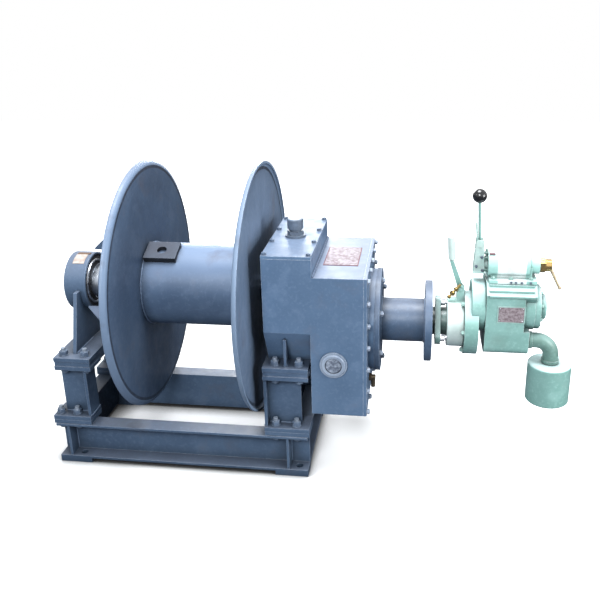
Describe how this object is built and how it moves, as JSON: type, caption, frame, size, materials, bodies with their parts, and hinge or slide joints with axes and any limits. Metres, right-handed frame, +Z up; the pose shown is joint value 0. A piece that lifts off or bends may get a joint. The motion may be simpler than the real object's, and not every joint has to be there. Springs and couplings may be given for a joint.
{
  "type": "pilot ladder winch",
  "caption": "Deck winch that stows and hoists a pilot ladder: flanged drum between a bearing and a worm gearbox, with an air motor and hand levers, on a welded frame.",
  "frame": {"origin": "centre of the rectangle of four deck bolt holes, on the deck under the foot pads", "axes": "+X along the drum from the bearing to the motor, +Y from the front frame channel to the rear one, +Z up"},
  "size_m": [2.0935, 1.018, 1.232],
  "materials": {
    "blue_grey_paint": "semi-gloss blue-grey paint",
    "mint_paint": "gloss mint green paint",
    "bare_steel": "machined",
    "dark_metal": "satin dark paint",
    "seal_rubber": "matt",
    "sight_glass": "clear",
    "brass": "satin",
    "grip_plastic": "satin",
    "black_plastic": "gloss"
  },
  "bodies": {
    "base": {"rear_beam": "blue_grey_paint", "front_beam": "blue_grey_paint", "left_cross_beam": "blue_grey_paint", "right_cross_beam": "blue_grey_paint", "post_rear_left": "blue_grey_paint", "post_front_left": "blue_grey_paint", "post_rear_right": "blue_grey_paint", "post_front_right": "blue_grey_paint", "bearing_pedestal": "blue_grey_paint", "bearing_housing": "blue_grey_paint", "gearbox_housing": "blue_grey_paint", "gearbox_top_cover": "blue_grey_paint", "gearbox_foot": "blue_grey_paint", "gearbox_end_cover": "blue_grey_paint", "output_boss": "blue_grey_paint", "input_flange": "blue_grey_paint", "adapter_tube": "blue_grey_paint", "adapter_disc": "blue_grey_paint", "sight_ring": "blue_grey_paint", "coupling_flange": "mint_paint", "brake_housing": "mint_paint", "motor_mount_flange": "mint_paint", "motor_front_cover": "mint_paint", "motor_body": "mint_paint", "motor_end_cover": "mint_paint", "motor_hub_cap": "mint_paint", "valve_block": "mint_paint", "lever_housing": "mint_paint", "exhaust_elbow": "mint_paint", "exhaust_muffler": "mint_paint", "bearing_seal": "seal_rubber", "breather_cap": "dark_metal", "sight_glass": "sight_glass", "drain_cock": "brass", "inlet_fitting": "brass"},
    "drum": {"drum_barrel": "blue_grey_paint", "drum_left_flange": "blue_grey_paint", "drum_hub": "blue_grey_paint", "drum_right_flange": "blue_grey_paint", "ladder_clamp": "blue_grey_paint", "drum_shaft": "bare_steel"},
    "control_lever": {"control_lever": "mint_paint", "control_knob": "black_plastic"},
    "brake_lever": {"brake_lever": "mint_paint", "brake_grip": "grip_plastic"}
  },
  "joints": [
    {"name": "drum_spin", "type": "hinge", "parent": "base", "child": "drum", "pos_m": [0.055, 0, 0.723], "axis": [1, 0, 0], "continuous": true},
    {"name": "control_lever_swing", "type": "hinge", "parent": "base", "child": "control_lever", "pos_m": [1.155, 0, 0.92], "axis": [0, 1, 0], "range_deg": [-12, 12], "stiffness_Nm_per_rad": 8},
    {"name": "brake_lever_swing", "type": "hinge", "parent": "base", "child": "brake_lever", "pos_m": [1.09, 0, 0.741], "axis": [0, 1, 0], "range_deg": [-15, 12]}
  ]
}
